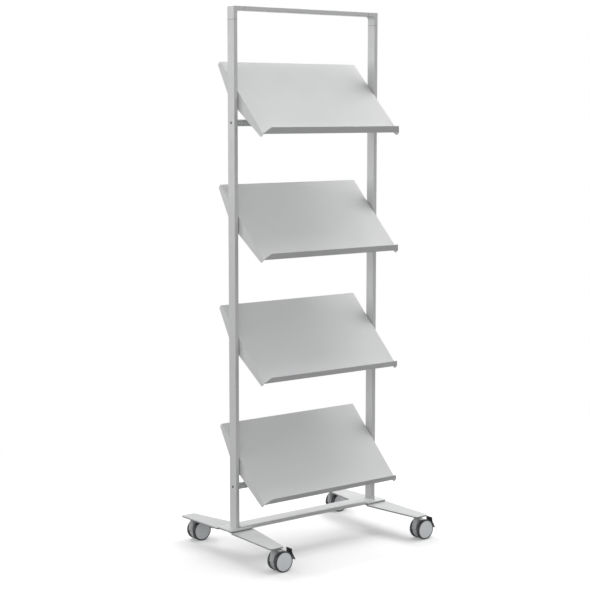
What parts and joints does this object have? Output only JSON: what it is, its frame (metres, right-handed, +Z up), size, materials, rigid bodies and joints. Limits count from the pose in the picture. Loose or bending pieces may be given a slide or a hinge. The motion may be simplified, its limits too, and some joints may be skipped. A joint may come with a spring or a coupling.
{
  "type": "periodical display rack",
  "caption": "Mobile periodical display rack: flat-tube frame with sloping lipped sheet shelves, T-shaped feet and swivelling twin-wheel casters with brake levers.",
  "frame": {"origin": "on the floor, in the middle of the ground that the rack covers with its levers; the posts' middle is 25.25 mm towards -X", "axes": "+Z up, -Y towards the reader's side with the shelf lips, +X to the reader's right"},
  "size_m": [0.7826, 0.556, 1.95],
  "materials": {
    "frame_paint": "satin powder coat, light silver grey",
    "shelf_paint": "satin powder coat, light silver grey",
    "zinc_steel": "bright zinc",
    "gasket": "matte black",
    "caster_grey": "moulded grey plastic",
    "tread": "soft dark grey tread",
    "lever_black": "moulded black plastic"
  },
  "bodies": {
    "frame": {"left_post": "frame_paint", "right_post": "frame_paint", "top_rail": "frame_paint", "left_corner_connector": "frame_paint", "right_corner_connector": "frame_paint", "upper_cross_tube": "frame_paint", "lower_cross_tube": "frame_paint", "base_beam": "frame_paint", "left_center_plate": "frame_paint", "right_center_plate": "frame_paint", "front_left_arm": "frame_paint", "front_right_arm": "frame_paint", "rear_left_arm": "frame_paint", "rear_right_arm": "frame_paint", "bottom_shelf": "shelf_paint", "lower_shelf": "shelf_paint", "upper_shelf": "shelf_paint", "top_shelf": "shelf_paint", "cross_tube_inserts": "zinc_steel", "cross_tube_screws": "zinc_steel", "plate_gaskets": "gasket", "base_bolts": "zinc_steel", "post_foot_blocks": "zinc_steel", "beam_nut_plates": "zinc_steel", "shelf_spacers": "zinc_steel", "shelf_screws": "zinc_steel", "post_rivet_nuts": "zinc_steel", "front_left_caster_stem": "zinc_steel", "front_right_caster_stem": "zinc_steel", "rear_left_caster_stem": "zinc_steel", "rear_right_caster_stem": "zinc_steel"},
    "front_left_caster": {"front_left_caster_housing": "caster_grey", "front_left_caster_axle": "zinc_steel"},
    "front_left_front_wheel": {"front_left_front_hub": "caster_grey", "front_left_front_tyre": "tread"},
    "front_left_rear_wheel": {"front_left_rear_hub": "caster_grey", "front_left_rear_tyre": "tread"},
    "front_left_lever": {"front_left_brake_lever": "lever_black"},
    "front_right_caster": {"front_right_caster_housing": "caster_grey", "front_right_caster_axle": "zinc_steel"},
    "front_right_front_wheel": {"front_right_front_hub": "caster_grey", "front_right_front_tyre": "tread"},
    "front_right_rear_wheel": {"front_right_rear_hub": "caster_grey", "front_right_rear_tyre": "tread"},
    "front_right_lever": {"front_right_brake_lever": "lever_black"},
    "rear_left_caster": {"rear_left_caster_housing": "caster_grey", "rear_left_caster_axle": "zinc_steel"},
    "rear_left_front_wheel": {"rear_left_front_hub": "caster_grey", "rear_left_front_tyre": "tread"},
    "rear_left_rear_wheel": {"rear_left_rear_hub": "caster_grey", "rear_left_rear_tyre": "tread"},
    "rear_left_lever": {"rear_left_brake_lever": "lever_black"},
    "rear_right_caster": {"rear_right_caster_housing": "caster_grey", "rear_right_caster_axle": "zinc_steel"},
    "rear_right_front_wheel": {"rear_right_front_hub": "caster_grey", "rear_right_front_tyre": "tread"},
    "rear_right_rear_wheel": {"rear_right_rear_hub": "caster_grey", "rear_right_rear_tyre": "tread"},
    "rear_right_lever": {"rear_right_brake_lever": "lever_black"}
  },
  "joints": [
    {"name": "front_left_swivel", "type": "hinge", "parent": "frame", "child": "front_left_caster", "pos_m": [-0.35825, -0.25, 0.065], "axis": [0, 0, 1], "continuous": true},
    {"name": "front_left_front_wheel_spin", "type": "hinge", "parent": "front_left_caster", "child": "front_left_front_wheel", "pos_m": [-0.33125, -0.25, 0.0375], "axis": [0, 1, 0], "continuous": true},
    {"name": "front_left_rear_wheel_spin", "type": "hinge", "parent": "front_left_caster", "child": "front_left_rear_wheel", "pos_m": [-0.33125, -0.25, 0.0375], "axis": [0, 1, 0], "continuous": true},
    {"name": "front_left_lever_tip", "type": "hinge", "parent": "front_left_caster", "child": "front_left_lever", "pos_m": [-0.31325, -0.25, 0.055], "axis": [0, 1, 0], "range_deg": [0, 12]},
    {"name": "front_right_swivel", "type": "hinge", "parent": "frame", "child": "front_right_caster", "pos_m": [0.30775, -0.25, 0.065], "axis": [0, 0, 1], "continuous": true},
    {"name": "front_right_front_wheel_spin", "type": "hinge", "parent": "front_right_caster", "child": "front_right_front_wheel", "pos_m": [0.33475, -0.25, 0.0375], "axis": [0, 1, 0], "continuous": true},
    {"name": "front_right_rear_wheel_spin", "type": "hinge", "parent": "front_right_caster", "child": "front_right_rear_wheel", "pos_m": [0.33475, -0.25, 0.0375], "axis": [0, 1, 0], "continuous": true},
    {"name": "front_right_lever_tip", "type": "hinge", "parent": "front_right_caster", "child": "front_right_lever", "pos_m": [0.35275, -0.25, 0.055], "axis": [0, 1, 0], "range_deg": [0, 12]},
    {"name": "rear_left_swivel", "type": "hinge", "parent": "frame", "child": "rear_left_caster", "pos_m": [-0.35825, 0.25, 0.065], "axis": [0, 0, 1], "continuous": true},
    {"name": "rear_left_front_wheel_spin", "type": "hinge", "parent": "rear_left_caster", "child": "rear_left_front_wheel", "pos_m": [-0.33125, 0.25, 0.0375], "axis": [0, 1, 0], "continuous": true},
    {"name": "rear_left_rear_wheel_spin", "type": "hinge", "parent": "rear_left_caster", "child": "rear_left_rear_wheel", "pos_m": [-0.33125, 0.25, 0.0375], "axis": [0, 1, 0], "continuous": true},
    {"name": "rear_left_lever_tip", "type": "hinge", "parent": "rear_left_caster", "child": "rear_left_lever", "pos_m": [-0.31325, 0.25, 0.055], "axis": [0, 1, 0], "range_deg": [0, 12]},
    {"name": "rear_right_swivel", "type": "hinge", "parent": "frame", "child": "rear_right_caster", "pos_m": [0.30775, 0.25, 0.065], "axis": [0, 0, 1], "continuous": true},
    {"name": "rear_right_front_wheel_spin", "type": "hinge", "parent": "rear_right_caster", "child": "rear_right_front_wheel", "pos_m": [0.33475, 0.25, 0.0375], "axis": [0, 1, 0], "continuous": true},
    {"name": "rear_right_rear_wheel_spin", "type": "hinge", "parent": "rear_right_caster", "child": "rear_right_rear_wheel", "pos_m": [0.33475, 0.25, 0.0375], "axis": [0, 1, 0], "continuous": true},
    {"name": "rear_right_lever_tip", "type": "hinge", "parent": "rear_right_caster", "child": "rear_right_lever", "pos_m": [0.35275, 0.25, 0.055], "axis": [0, 1, 0], "range_deg": [0, 12]}
  ]
}
